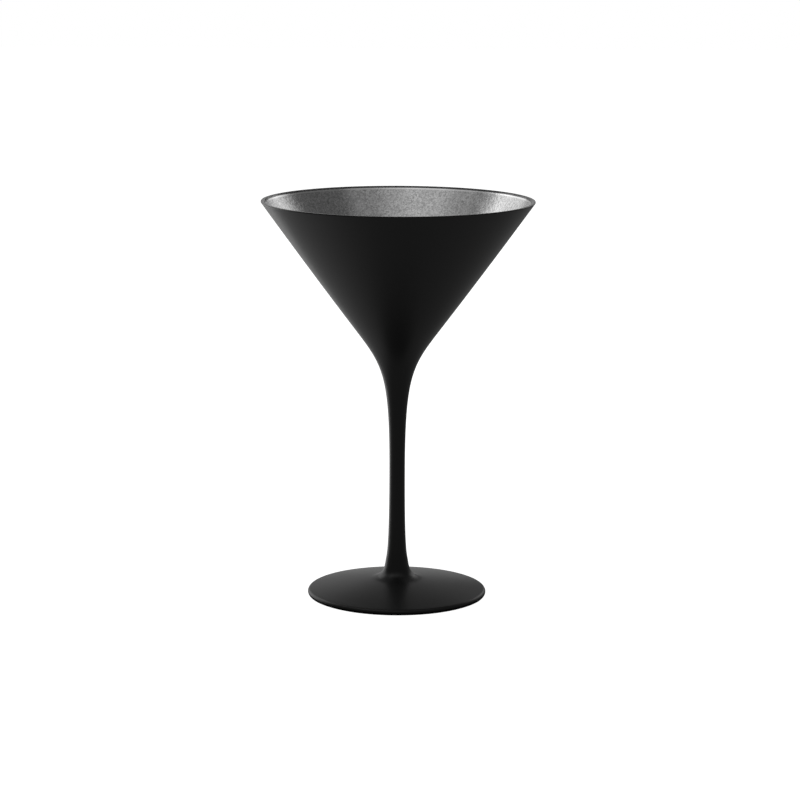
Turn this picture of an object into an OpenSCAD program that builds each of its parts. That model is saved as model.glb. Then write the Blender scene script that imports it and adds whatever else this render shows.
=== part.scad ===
// Martini glass: a clear glass bowl, stem and foot welded in line,
// with a matt black lacquer outside and a silver lacquer inside the bowl.
// Millimetres, +Z up. The origin is the centre of the resting ring, on the table.

/* [Bowl] */
// Height of the whole glass, from the table to the top of the lip
total_h = 172; // [165:0.5:185]
// Outside diameter of the rim
rim_d = 116.6; // [110:0.1:122]
// Height at which the straight side ends and starts to blend into the stem
shoulder_z = 114; // [110:0.5:118]
// Outside diameter at that height
shoulder_d = 32.4; // [30:0.1:36]
// How far the side bows out beyond a straight cone, at its middle
side_bow = 0.28; // [0:0.02:0.6]
// Thickness of the glass wall
wall_t = 1.3; // [1:0.1:1.6]
// Radius of the rounded tip inside the bowl
tip_r = 5; // [3:0.5:6]
// Radius of the lip's outer edge
lip_outer_r = 0.3; // [0.2:0.05:0.5]
// Radius of the lip's inner edge
lip_inner_r = 0.8; // [0.4:0.05:0.9]

/* [Stem] */
// Diameter of the stem at its waist
waist_d = 6.54; // [5:0.02:8]
// Height of the waist
waist_z = 55; // [45:1:60]
// Height of the weld between stem and foot
foot_weld_z = 14; // [12:0.5:16]
// Diameter of that weld
foot_weld_d = 9.8; // [9:0.1:11]
// Length of the bowl's blend, from the shoulder towards the neck
neck_pull = 17; // [12:0.5:20]
// Length of the slender taper above the waist
upper_taper = 39.4; // [30:0.1:45]
// Length of the slender taper below the waist
lower_taper = 37; // [25:1:40]

/* [Foot] */
// Diameter of the foot
foot_d = 77.2; // [70:0.1:85]
// Thickness of the foot at its edge
edge_t = 2.5; // [2:0.1:3]
// Diameter of the hub, where the fillet under the stem meets the dome
hub_d = 24; // [20:0.5:28]
// Height of the foot at the hub
hub_z = 6.9; // [6.4:0.1:8]
// How far the dome rises above a straight cone, at its middle
dome_bow = 0.25; // [0:0.05:0.5]
// Width of the flat ring that the glass stands on
ring_w = 3; // [2:0.5:5]
// Depth of the hollow under the foot
hollow_depth = 1.4; // [0.8:0.1:2]

/* [Lacquer] */
// Thickness of each lacquer film
film_t = 0.1; // [0.08:0.01:0.15]
// Height of bare lip left above the silver lining
lining_gap = 0.75; // [0.4:0.05:2]
// How far up the lip's round outer edge the black coat runs, in degrees above the horizontal
coat_wrap = 45; // [0:5:45]

/* [Hidden] */
$fn = 192;

// Steps along each stretch of the outline
side_steps = 8;
blend_steps = 24;
taper_steps = 14;
fillet_steps = 10;
arc_steps = 6;
lip_steps = 10;

// Step of the blend at which the bowl is welded to the stem
neck_step = 13;

// Slope of the taper where it meets the foot's fillet, and its pull there
foot_flare = 8;
foot_pull = 4.3;

// Pull of the foot's fillet along the stem and along the dome
fillet_pull_up = 4.2;
fillet_pull_out = 5;

// Point where the coat stops on the foot's lower edge, below the horizontal
coat_end_angle = 45;

// --- points and curves in the r-z half plane ---

function cubic(a, b, c, d, u) =
    pow(1 - u, 3) * a + 3 * pow(1 - u, 2) * u * b + 3 * (1 - u) * u * u * c + pow(u, 3) * d;
function curve(a, b, c, d, steps) = [for (i = [0:steps]) cubic(a, b, c, d, i / steps)];
function arc(centre, r, from, to, steps) =
    [for (i = [0:steps]) let (t = from + (to - from) * i / steps) centre + r * [cos(t), sin(t)]];
function bowed(a, b, bow, steps) =
    [for (i = [0:steps]) let (u = i / steps) a + (b - a) * u + [4 * bow * u * (1 - u), 0]];
function part(path, first, last) = [for (i = [first:last]) path[i]];
function reversed(path) = [for (i = [len(path) - 1:-1:0]) path[i]];

// A path moved sideways by t, to the left of its own direction
function shifted(path, t) = [
    for (i = [0:len(path) - 1])
        let (a = path[max(i - 1, 0)], b = path[min(i + 1, len(path) - 1)], d = (b - a) / norm(b - a))
            path[i] + t * [-d.y, d.x]
];

// --- bowl ---

// The side runs up at side_angle from the vertical where it meets the lip
shoulder = [shoulder_d / 2, shoulder_z];
side_rise = total_h - shoulder_z;
side_angle = atan((rim_d / 2 - shoulder_d / 2 - 4 * side_bow) / side_rise);
shoulder_angle = atan((rim_d / 2 - shoulder_d / 2 + 4 * side_bow) / side_rise);

lip_outer_centre = [rim_d / 2 - lip_outer_r, total_h - lip_outer_r];
side_top = lip_outer_centre + lip_outer_r * [cos(side_angle), -sin(side_angle)];
coated_lip = arc(lip_outer_centre, lip_outer_r, coat_wrap, -side_angle, lip_steps);
outer_side = bowed(side_top, shoulder, side_bow, side_steps);
inner_side = shifted(outer_side, -wall_t);

// Inside, the wall runs on straight from the shoulder to the rounded tip
inner_shoulder = inner_side[side_steps];
apex_z = inner_shoulder.y - inner_shoulder.x / tan(shoulder_angle);
tip_centre = [0, apex_z + tip_r / sin(shoulder_angle)];
tip_arc = arc(tip_centre, tip_r, -90, -shoulder_angle, arc_steps);

lip_inner_z = total_h - lip_inner_r;
lip_inner_centre = [
    inner_side[0].x + (lip_inner_z - inner_side[0].y) * tan(side_angle) + lip_inner_r / cos(side_angle),
    lip_inner_z
];
lip = concat(
    arc(lip_inner_centre, lip_inner_r, 180 - side_angle, 90, lip_steps),
    arc(lip_outer_centre, lip_outer_r, 90, coat_wrap, lip_steps),
    part(coated_lip, 1, lip_steps)
);

// From the shoulder down to the waist, and the weld part of the way down
waist = [waist_d / 2, waist_z];
blend = curve(
    shoulder,
    shoulder - neck_pull * [sin(shoulder_angle), cos(shoulder_angle)],
    waist + [0, upper_taper],
    waist,
    blend_steps
);
neck_weld = blend[neck_step];

module bowl() {
    color("lightcyan", 0.5)
        rotate_extrude()
            polygon(concat(
                tip_arc,
                reversed(part(inner_side, 1, side_steps)),
                lip,
                part(outer_side, 1, side_steps),
                part(blend, 1, neck_step),
                [[0, neck_weld.y]]
            ));
}

// --- stem ---

foot_weld = [foot_weld_d / 2, foot_weld_z];
taper = curve(
    waist,
    waist - [0, lower_taper],
    foot_weld + foot_pull * [-sin(foot_flare), cos(foot_flare)],
    foot_weld,
    taper_steps
);

module stem() {
    color("lightcyan", 0.5)
        rotate_extrude()
            polygon(concat(
                [[0, neck_weld.y]],
                part(blend, neck_step, blend_steps),
                part(taper, 1, taper_steps),
                [[0, foot_weld_z]]
            ));
}

// --- foot ---

// The edge is round above and below: its two arcs share the height edge_t
edge_r = edge_t / 2;
edge_centre = [foot_d / 2 - edge_r, edge_r];
hub = [hub_d / 2, hub_z];
dome_run = edge_centre.x - hub.x;
dome_drop = hub.y - 2 * edge_r;
dome_angle = atan((dome_drop + 4 * dome_bow) / dome_run);
hub_angle = atan((dome_drop - 4 * dome_bow) / dome_run);
dome_end = edge_centre + edge_r * [sin(dome_angle), cos(dome_angle)];

hub_fillet = curve(
    foot_weld,
    foot_weld + fillet_pull_up * [sin(foot_flare), -cos(foot_flare)],
    hub + fillet_pull_out * [-cos(hub_angle), sin(hub_angle)],
    hub,
    fillet_steps
);
dome = [
    for (i = [0:side_steps])
        let (u = i / side_steps)
            hub + (dome_end - hub) * u + [0, 4 * dome_bow * u * (1 - u)]
];
upper_edge = arc(edge_centre, edge_r, 90 - dome_angle, 0, arc_steps);
lower_edge = arc(edge_centre, edge_r, 0, -coat_end_angle, arc_steps);
under_edge = arc(edge_centre, edge_r, -coat_end_angle, -90, arc_steps);

// The hollow under the foot is part of a large sphere
hollow_edge = edge_centre.x - ring_w;
hollow_r = (pow(hollow_edge, 2) + pow(hollow_depth, 2)) / (2 * hollow_depth);
hollow_half_angle = asin(hollow_edge / hollow_r);
hollow = arc(
    [0, hollow_depth - hollow_r],
    hollow_r,
    90 - hollow_half_angle,
    90,
    side_steps
);

module foot() {
    color("lightcyan", 0.5)
        rotate_extrude()
            polygon(concat(
                [[0, foot_weld_z]],
                hub_fillet,
                part(dome, 1, side_steps),
                part(upper_edge, 1, arc_steps),
                part(lower_edge, 1, arc_steps),
                part(under_edge, 1, arc_steps),
                hollow
            ));
}

// --- lacquer ---

coated = concat(
    coated_lip,
    part(outer_side, 1, side_steps),
    part(blend, 1, blend_steps),
    part(taper, 1, taper_steps),
    part(hub_fillet, 1, fillet_steps),
    part(dome, 1, side_steps),
    part(upper_edge, 1, arc_steps),
    part(lower_edge, 1, arc_steps)
);

module black_coat() {
    color([0.03, 0.03, 0.03])
        rotate_extrude()
            polygon(concat(coated, reversed(shifted(coated, film_t))));
}

// The lining starts lining_gap below the top of the lip, on the first stretch of the inner side
lining_top_u = (total_h - lining_gap - inner_side[0].y) / (inner_side[1].y - inner_side[0].y);
lining_top = inner_side[0] + lining_top_u * (inner_side[1] - inner_side[0]);
lined = concat(
    [lining_top],
    part(inner_side, 1, side_steps),
    reversed(part(tip_arc, 1, arc_steps))
);

module silver_lining() {
    color([0.75, 0.75, 0.76])
        rotate_extrude()
            polygon(concat(
                lined,
                [tip_arc[0], tip_arc[0] + [0, film_t]],
                reversed(shifted(lined, -film_t))
            ));
}

bowl();
stem();
foot();
black_coat();
silver_lining();
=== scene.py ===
import math

import bmesh
import bpy
from mathutils import Euler, Matrix, Vector


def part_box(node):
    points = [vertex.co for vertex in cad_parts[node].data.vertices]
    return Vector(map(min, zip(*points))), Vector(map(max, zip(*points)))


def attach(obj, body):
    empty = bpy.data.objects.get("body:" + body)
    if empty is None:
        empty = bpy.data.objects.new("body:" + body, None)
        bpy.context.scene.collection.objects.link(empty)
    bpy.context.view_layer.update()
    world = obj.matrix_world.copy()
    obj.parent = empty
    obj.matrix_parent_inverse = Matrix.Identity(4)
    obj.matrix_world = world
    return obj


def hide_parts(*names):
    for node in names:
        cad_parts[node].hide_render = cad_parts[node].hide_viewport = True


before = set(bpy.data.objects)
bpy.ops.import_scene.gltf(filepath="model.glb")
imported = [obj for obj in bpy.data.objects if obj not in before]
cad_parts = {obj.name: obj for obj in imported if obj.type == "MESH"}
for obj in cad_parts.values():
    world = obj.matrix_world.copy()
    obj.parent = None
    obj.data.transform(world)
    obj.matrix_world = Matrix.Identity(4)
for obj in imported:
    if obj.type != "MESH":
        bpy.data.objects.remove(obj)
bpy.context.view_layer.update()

MM = 0.001

# Lathe work: steps round the axis, and steps put between two points of a CAD outline
TURN_STEPS = 256
SPLINE_STEPS = 3
# An outline turns sharply where it bends by more than this; elsewhere it runs smoothly
CORNER = math.radians(40)
# An outline that bends by less than this runs straight
STRAIGHT = math.radians(0.2)
# Points this close in a CAD outline are one point
MERGE = 0.0005 * MM
# How far a lacquer film is pressed into the glass that it covers, so that no gap shows between them
BITE = 0.01 * MM

# Silver lacquer: flakes to the metre, and the band along its upper edge, smoother and lightened as a painted
# highlight, with the width of its fade
FLAKE_SCALE = 1700.0
SILVER_EDGE = 0.45 * MM
SILVER_EDGE_FADE = 0.25 * MM
# Painted highlight tone and roughness of that edge band
SILVER_HIGHLIGHT_TONE = 0.90
SILVER_EDGE_ROUGHNESS = 0.18

# Camera: its distance from the glass's axis and height above the table, its downward pitch, its lens
# and sensor in millimetres, how far it is turned aside and rolled, and the range of depths it sees
CAMERA_AWAY = 1.162
CAMERA_HEIGHT = 0.3043
CAMERA_PITCH = math.radians(10.653)
CAMERA_LENS = 123.5
CAMERA_SENSOR = 36.0
CAMERA_YAW = math.radians(-0.0546)
CAMERA_ROLL = math.radians(0.237)
CAMERA_CLIP = (0.05, 50.0)

# Studio: the lights stand this far from a point about half way up the glass
LIGHT_AWAY = 1.3
LIGHT_AIM = Vector((0, 0, 0.09))
# Brightness of the surround as the glass is lit by it
SURROUND = 0.11
# What the table adds below the horizon: all round, and at most. It fades in over this height each side
TABLE_LEVEL = 0.04
TABLE_GLOW = 0.25
HORIZON_BLEND = 0.08
# Where the table adds the most, as azimuth and elevation, and how far from there it is full and ends
GLOW_TOWARDS = (130, -25)
GLOW_FULL = math.radians(10)
GLOW_END = math.radians(70)
# Half the width of the table
FLOOR_HALF = 4.0
# The dark sheet of painted shade on the table: how far it reaches past the foot, and how far it lies below
# the floor
SHADE_RIM = 9 * MM
SHADE_DEPTH = 0.05 * MM
SHADE_STEPS = 96


# --- outlines ---------------------------------------------------------------------------

def outline(node):
    """The outline (radius, height) of a round CAD node, walked along its mesh at azimuth 0.

    A ring's outline comes back closed, its last point the same as its first. A solid's
    runs from the axis to the axis.
    """
    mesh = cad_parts[node].data
    key = {}
    for v in mesh.vertices:
        if abs(v.co.y) < MERGE and v.co.x > -MERGE:
            key[v.index] = (round(v.co.x / MERGE), round(v.co.z / MERGE))
    near = {k: set() for k in key.values()}
    for edge in mesh.edges:
        a, b = (key.get(i) for i in edge.vertices)
        if a and b and a != b:
            near[a].add(b)
            near[b].add(a)
    ends = [k for k in near if len(near[k]) == 1]
    start = max(ends or near, key=lambda k: (k[1], k[0]))
    path = [start]
    step = max(near[start], key=lambda k: k[0])
    while step and step != start:
        path.append(step)
        onward = [k for k in near[step] if k not in path[-2:]]
        step = onward[0] if onward else None
    points = [Vector((r * MERGE, z * MERGE)) for r, z in path]
    if not ends:
        return points + [points[0]]
    axis = [Vector((0, p.y)) for p in (points[0], points[-1])]
    head = [axis[0]] if points[0].x > MERGE else []
    tail = [axis[1]] if points[-1].x > MERGE else []
    return head + points + tail


def bend(a, b, c):
    """The angle through which an outline turns at b, on its way from a to c."""
    return (b - a).angle(c - b, 0.0)


def plain(points):
    """The outline without the points that lie on a straight stretch."""
    kept = [points[0]]
    for here, after in zip(points[1:], points[2:]):
        if bend(kept[-1], here, after) > STRAIGHT:
            kept.append(here)
    return kept + [points[-1]]


def smooth(points):
    """The outline with SPLINE_STEPS points between neighbours, on a curve through them all.

    It keeps its corners. Returns [(point, is_corner)].
    """
    closed = (points[0] - points[-1]).length < MERGE
    count = len(points)
    corner = [True] * count
    for i in range(1, count - 1):
        corner[i] = bend(points[i - 1], points[i], points[i + 1]) > CORNER
    made = []
    for i in range(count - 1):
        a, b = points[i], points[i + 1]
        run = b - a
        before = run if corner[i] else a - points[i - 1]
        after = run if corner[i + 1] else points[i + 2] - b
        # Where two stretches meet smoothly, the longer one has more say in the tangent
        tan_a = (before + run).normalized() * run.length
        tan_b = (run + after).normalized() * run.length
        made.append((a, corner[i]))
        for k in range(1, SPLINE_STEPS):
            u = k / SPLINE_STEPS
            made.append((hermite(a, b, tan_a, tan_b, u), False))
    return made if closed else made + [(points[-1], True)]


def hermite(a, b, tan_a, tan_b, u):
    """A point of the cubic from a to b with those end tangents."""
    return (
        a * (2 * u**3 - 3 * u**2 + 1)
        + tan_a * (u**3 - 2 * u**2 + u)
        + b * (3 * u**2 - 2 * u**3)
        + tan_b * (u**3 - u**2)
    )


def lathe(name, rings, grow=0.0):
    """A solid turned about Z from rings, which are [(point, is_corner)], closed or from axis to axis.

    Its surface is then moved outwards by grow.
    """
    bm = bmesh.new()
    uv = bm.loops.layers.uv.new("turned")
    turned = []
    for point, _ in rings:
        if point.x < MERGE:
            turned.append([bm.verts.new((0, 0, point.y))])
            continue
        angles = [2 * math.pi * k / TURN_STEPS for k in range(TURN_STEPS)]
        turned.append([bm.verts.new((point.x * math.cos(t), point.x * math.sin(t), point.y)) for t in angles])
    closed = len(turned[0]) > 1
    pairs = list(zip(turned, turned[1:] + turned[:1])) if closed else list(zip(turned, turned[1:]))
    along = 0.0
    for i, (low, high) in enumerate(pairs):
        step = (rings[(i + 1) % len(rings)][0] - rings[i][0]).length
        for k in range(TURN_STEPS):
            n = (k + 1) % TURN_STEPS
            corners = [(low, k, 0, 0), (low, n, 1, 0), (high, n, 1, 1), (high, k, 0, 1)]
            if len(low) == 1:
                corners = [corners[0], corners[2], corners[3]]
            elif len(high) == 1:
                corners = corners[:3]
            face = bm.faces.new([ring[j % len(ring)] for ring, j, _, _ in corners])
            face.smooth = True
            for loop, (_, _, du, dv) in zip(face.loops, corners):
                loop[uv].uv = ((k + du) / TURN_STEPS, along + dv * step)
        along += step
    for (_, is_corner), ring in zip(rings, turned):
        if is_corner and len(ring) > 1:
            for k in range(TURN_STEPS):
                edge = bm.edges.get((ring[k], ring[(k + 1) % TURN_STEPS]))
                edge.smooth = False
    bmesh.ops.recalc_face_normals(bm, faces=bm.faces)
    bm.normal_update()
    for vert in bm.verts:
        vert.co += vert.normal * grow
    mesh = bpy.data.meshes.new(name)
    bm.to_mesh(mesh)
    bm.free()
    piece = bpy.data.objects.new(name, mesh)
    bpy.context.scene.collection.objects.link(piece)
    return piece


# --- materials --------------------------------------------------------------------------

def new_material(name, **sockets):
    """A material with a Principled shader, its sockets set by name. Returns (material, tree, shader)."""
    material = bpy.data.materials.new(name)
    material.use_nodes = True
    tree = material.node_tree
    shader = tree.nodes["Principled BSDF"]
    for socket, value in sockets.items():
        shader.inputs[socket.replace("_", " ")].default_value = value
    return material, tree, shader


def add_node(tree, kind, settings=(), **inputs):
    """A node with its settings and inputs. An input is a value, or a socket to link."""
    node = tree.nodes.new(kind)
    for key, value in dict(settings).items():
        setattr(node, key, value)
    for key, value in inputs.items():
        socket = node.inputs[key.replace("_", " ")]
        if isinstance(value, bpy.types.NodeSocket):
            tree.links.new(value, socket)
        else:
            socket.default_value = value
    return node


def clear_glass():
    """Clear soda-lime glass with the faint waves of a blown and fire-polished surface."""
    material, tree, shader = new_material(
        "clear_glass",
        Base_Color=(0.97, 0.99, 0.985, 1),
        Roughness=0.01,
        IOR=1.52,
        Transmission_Weight=1.0,
    )
    place = add_node(tree, "ShaderNodeTexCoord").outputs["Object"]
    waves = add_node(tree, "ShaderNodeTexNoise", Vector=place, Scale=90.0, Detail=1.0)
    bump = add_node(tree, "ShaderNodeBump", Height=waves.outputs["Fac"], Strength=0.04, Distance=0.2 * MM)
    tree.links.new(bump.outputs["Normal"], shader.inputs["Normal"])
    return material


def black_lacquer():
    """Matt black sprayed lacquer: a fine orange-peel grain and a soft, slightly uneven sheen."""
    material, tree, shader = new_material(
        "black_lacquer",
        Base_Color=(0.013, 0.013, 0.013, 1),
        IOR=1.5,
        Specular_IOR_Level=0.45,
    )
    place = add_node(tree, "ShaderNodeTexCoord").outputs["Object"]
    cloud = add_node(tree, "ShaderNodeTexNoise", Vector=place, Scale=60.0, Detail=3.0)
    rough = add_node(tree, "ShaderNodeMapRange", Value=cloud.outputs["Fac"], To_Min=0.30, To_Max=0.34)
    tree.links.new(rough.outputs["Result"], shader.inputs["Roughness"])
    grain = add_node(tree, "ShaderNodeTexNoise", Vector=place, Scale=2600.0, Detail=2.0)
    bump = add_node(tree, "ShaderNodeBump", Height=grain.outputs["Fac"], Strength=0.12, Distance=0.05 * MM)
    tree.links.new(bump.outputs["Normal"], shader.inputs["Normal"])
    return material


def silver_lacquer():
    """Silver lacquer: aluminium flakes lying at slightly different tilts under a satin surface.

    Along its upper edge it is smoother, and its colour is lightened there as a painted highlight along the
    lip.
    """
    material, tree, shader = new_material("silver_lacquer", Metallic=1.0)
    place = add_node(tree, "ShaderNodeTexCoord").outputs["Object"]
    flakes = add_node(tree, "ShaderNodeTexVoronoi", Vector=place, Scale=FLAKE_SCALE)
    tone = add_node(tree, "ShaderNodeMapRange", Value=flakes.outputs["Color"], To_Min=0.38, To_Max=0.84)
    drift = add_node(tree, "ShaderNodeTexNoise", Vector=place, Scale=700.0, Detail=2.0)
    rough = add_node(tree, "ShaderNodeMapRange", Value=drift.outputs["Fac"], To_Min=0.18, To_Max=0.26)

    # A band along the lining's upper edge: its surface is smoother, and its colour is lightened as a painted
    # highlight
    edge_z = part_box("silver_lining")[1][2]
    height = add_node(tree, "ShaderNodeSeparateXYZ", Vector=place).outputs["Z"]
    edge = add_node(
        tree, "ShaderNodeMapRange", {"interpolation_type": "SMOOTHSTEP"}, Value=height,
        From_Min=edge_z - SILVER_EDGE - SILVER_EDGE_FADE, From_Max=edge_z - SILVER_EDGE,
    ).outputs["Result"]
    # Painted highlight: in the edge band the flake tone is lifted to a fixed pale tone
    tone_and_highlight = add_node(
        tree, "ShaderNodeMapRange", Value=edge, To_Min=tone.outputs["Result"], To_Max=SILVER_HIGHLIGHT_TONE
    )
    tree.links.new(tone_and_highlight.outputs["Result"], shader.inputs["Base Color"])
    smoothed = add_node(
        tree, "ShaderNodeMapRange", Value=edge,
        To_Min=rough.outputs["Result"], To_Max=SILVER_EDGE_ROUGHNESS,
    )
    tree.links.new(smoothed.outputs["Result"], shader.inputs["Roughness"])

    tilt = add_node(
        tree, "ShaderNodeBump", Height=flakes.outputs["Distance"], Strength=0.25, Distance=0.1 * MM
    )
    lumps = add_node(
        tree, "ShaderNodeBump", Height=drift.outputs["Fac"], Normal=tilt.outputs["Normal"],
        Strength=0.3, Distance=0.1 * MM,
    )
    tree.links.new(lumps.outputs["Normal"], shader.inputs["Normal"])
    return material


# --- the glass --------------------------------------------------------------------------

def build_glass():
    """Every piece, turned from its CAD node's own outline."""
    glass = (clear_glass(), "clear_glass")
    finishes = {
        "bowl": glass,
        "stem": glass,
        "foot": glass,
        "black_coat": (black_lacquer(), "black_lacquer"),
        "silver_lining": (silver_lacquer(), "silver_lacquer"),
    }
    films = ("black_coat", "silver_lining")
    for node, (material, slot) in finishes.items():
        rings = smooth(plain(outline(node)))
        piece = lathe(node + "_turned", rings, grow=BITE if node in films else 0.0)
        piece.data.materials.append(material)
        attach(piece, "root")
        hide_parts(node)


# --- studio -----------------------------------------------------------------------------

def direction(azimuth, elevation):
    """The unit vector towards an azimuth, counted from +X towards +Y, and an elevation, in degrees."""
    a, e = math.radians(azimuth), math.radians(elevation)
    return Vector((math.cos(e) * math.cos(a), math.cos(e) * math.sin(a), math.sin(e)))


def area_light(name, azimuth, elevation, spread, level):
    """A soft rectangular light, facing the glass.

    spread is the angle that it takes up across and upwards, in degrees, and level its brightness.
    """
    width, height = (2 * LIGHT_AWAY * math.tan(math.radians(angle / 2)) for angle in spread)
    data = bpy.data.lights.new(name, "AREA")
    data.shape = "RECTANGLE"
    data.size, data.size_y = width, height
    data.energy = level * math.pi * width * height
    light = bpy.data.objects.new(name, data)
    away = direction(azimuth, elevation)
    light.location = LIGHT_AIM + LIGHT_AWAY * away
    light.rotation_euler = (-away).to_track_quat("-Z", "Y").to_euler()
    light.visible_camera = False
    light.visible_transmission = False
    bpy.context.scene.collection.objects.link(light)


def build_lights():
    """Large lights behind the glass on the left, weaker ones behind on the right, soft ones overhead."""
    area_light("left_softbox", 136, 8, (46, 62), 0.84)
    area_light("left_top", 150, 38, (30, 18), 0.32)
    area_light("back_softbox", 98, 0, (30, 50), 0.28)
    area_light("right_softbox", 55, 16, (45, 30), 0.22)
    area_light("right_strip", 64, 15, (18, 25), 0.36)
    area_light("right_top", 47, 25, (30, 14), 0.40)
    for name, azimuth, level in (("left", 200, 0.26), ("middle", 240, 0.20), ("right", 300, 0.16)):
        area_light("overhead_" + name, azimuth, 61, (40, 40), level)


def build_stage():
    """A pale table under the glass, which shines evenly, and a dark sheet on it round the foot as painted
    shade.

    The world's glow stands for the light from the table. The camera doesn't see the shade, directly or
    through glass.
    """
    corners = [(x * FLOOR_HALF, y * FLOOR_HALF, 0) for x, y in ((-1, -1), (1, -1), (1, 1), (-1, 1))]
    floor, material = stage_sheet("floor", corners, Base_Color=(0.8, 0.8, 0.8, 1), Roughness=0.9)
    shader = material.node_tree.nodes["Principled BSDF"]
    shader.inputs["Emission Color"].default_value = (1, 1, 1, 1)
    shader.inputs["Emission Strength"].default_value = 1.0
    floor.visible_glossy = False
    floor.visible_diffuse = False
    floor.visible_shadow = False

    low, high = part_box("foot")
    radius = (high[0] - low[0]) / 2 + SHADE_RIM
    angles = [2 * math.pi * k / SHADE_STEPS for k in range(SHADE_STEPS)]
    rim = [(radius * math.cos(t), radius * math.sin(t), -SHADE_DEPTH) for t in angles]
    # Painted shade: a dark sheet under the foot standing in for the table's contact shadow, seen only in
    # reflections, bounce light and shadows
    shade, _ = stage_sheet("table_shade", rim, Base_Color=(0.03, 0.03, 0.03, 1), Roughness=1.0)
    shade.visible_camera = False
    shade.visible_transmission = False


def stage_sheet(name, corners, **sockets):
    """A flat sheet of the stage. Returns (sheet, its material)."""
    mesh = bpy.data.meshes.new(name)
    mesh.from_pydata(corners, [], [tuple(range(len(corners)))])
    sheet = bpy.data.objects.new(name, mesh)
    bpy.context.scene.collection.objects.link(sheet)
    material, _, _ = new_material(name, **sockets)
    mesh.materials.append(material)
    return sheet, material


def build_world():
    """A pale surround. It looks white, and it lights the glass dimly and evenly.

    Below the horizon the table adds a little all round, and more towards the left softbox.
    """
    world = bpy.data.worlds.new("surround")
    bpy.context.scene.world = world
    world.use_nodes = True
    tree = world.node_tree
    back = tree.nodes["Background"]
    back.inputs["Color"].default_value = (1, 1, 1, 1)
    towards = add_node(tree, "ShaderNodeTexCoord").outputs["Generated"]
    facing = add_node(tree, "ShaderNodeVectorMath", {"operation": "DOT_PRODUCT"})
    tree.links.new(towards, facing.inputs[0])
    facing.inputs[1].default_value = direction(*GLOW_TOWARDS)
    spot = add_node(
        tree, "ShaderNodeMapRange", {"interpolation_type": "SMOOTHSTEP"}, Value=facing.outputs["Value"],
        From_Min=math.cos(GLOW_END), From_Max=math.cos(GLOW_FULL),
        To_Min=TABLE_LEVEL, To_Max=TABLE_GLOW,
    )
    height = add_node(tree, "ShaderNodeSeparateXYZ", Vector=towards).outputs["Z"]
    glow = add_node(
        tree, "ShaderNodeMapRange", Value=height, From_Min=HORIZON_BLEND, From_Max=-HORIZON_BLEND,
        To_Min=0.0, To_Max=spot.outputs["Result"],
    )
    lit = add_node(tree, "ShaderNodeMath", {"operation": "ADD"})
    tree.links.new(glow.outputs["Result"], lit.inputs[0])
    lit.inputs[1].default_value = SURROUND
    rays = add_node(tree, "ShaderNodeLightPath")
    straight = add_node(tree, "ShaderNodeMath", {"operation": "MAXIMUM"})
    tree.links.new(rays.outputs["Is Camera Ray"], straight.inputs[0])
    tree.links.new(rays.outputs["Is Transmission Ray"], straight.inputs[1])
    level = add_node(
        tree, "ShaderNodeMapRange", Value=straight.outputs["Value"], To_Min=lit.outputs["Value"], To_Max=1.0
    )
    tree.links.new(level.outputs["Result"], back.inputs["Strength"])


def build_camera():
    """The camera, looking at the glass from a little above it."""
    data = bpy.data.cameras.new("camera")
    data.sensor_width = CAMERA_SENSOR
    data.lens = CAMERA_LENS
    data.clip_start, data.clip_end = CAMERA_CLIP
    camera = bpy.data.objects.new("camera", data)
    camera.location = (0, -CAMERA_AWAY, CAMERA_HEIGHT)
    level = Euler((math.pi / 2 - CAMERA_PITCH, 0, CAMERA_YAW)).to_matrix()
    camera.rotation_euler = (level @ Matrix.Rotation(CAMERA_ROLL, 3, "Z")).to_euler()
    bpy.context.scene.collection.objects.link(camera)
    bpy.context.scene.camera = camera


build_glass()
build_stage()
build_world()
build_lights()
build_camera()
bpy.context.scene.view_settings.view_transform = "Standard"
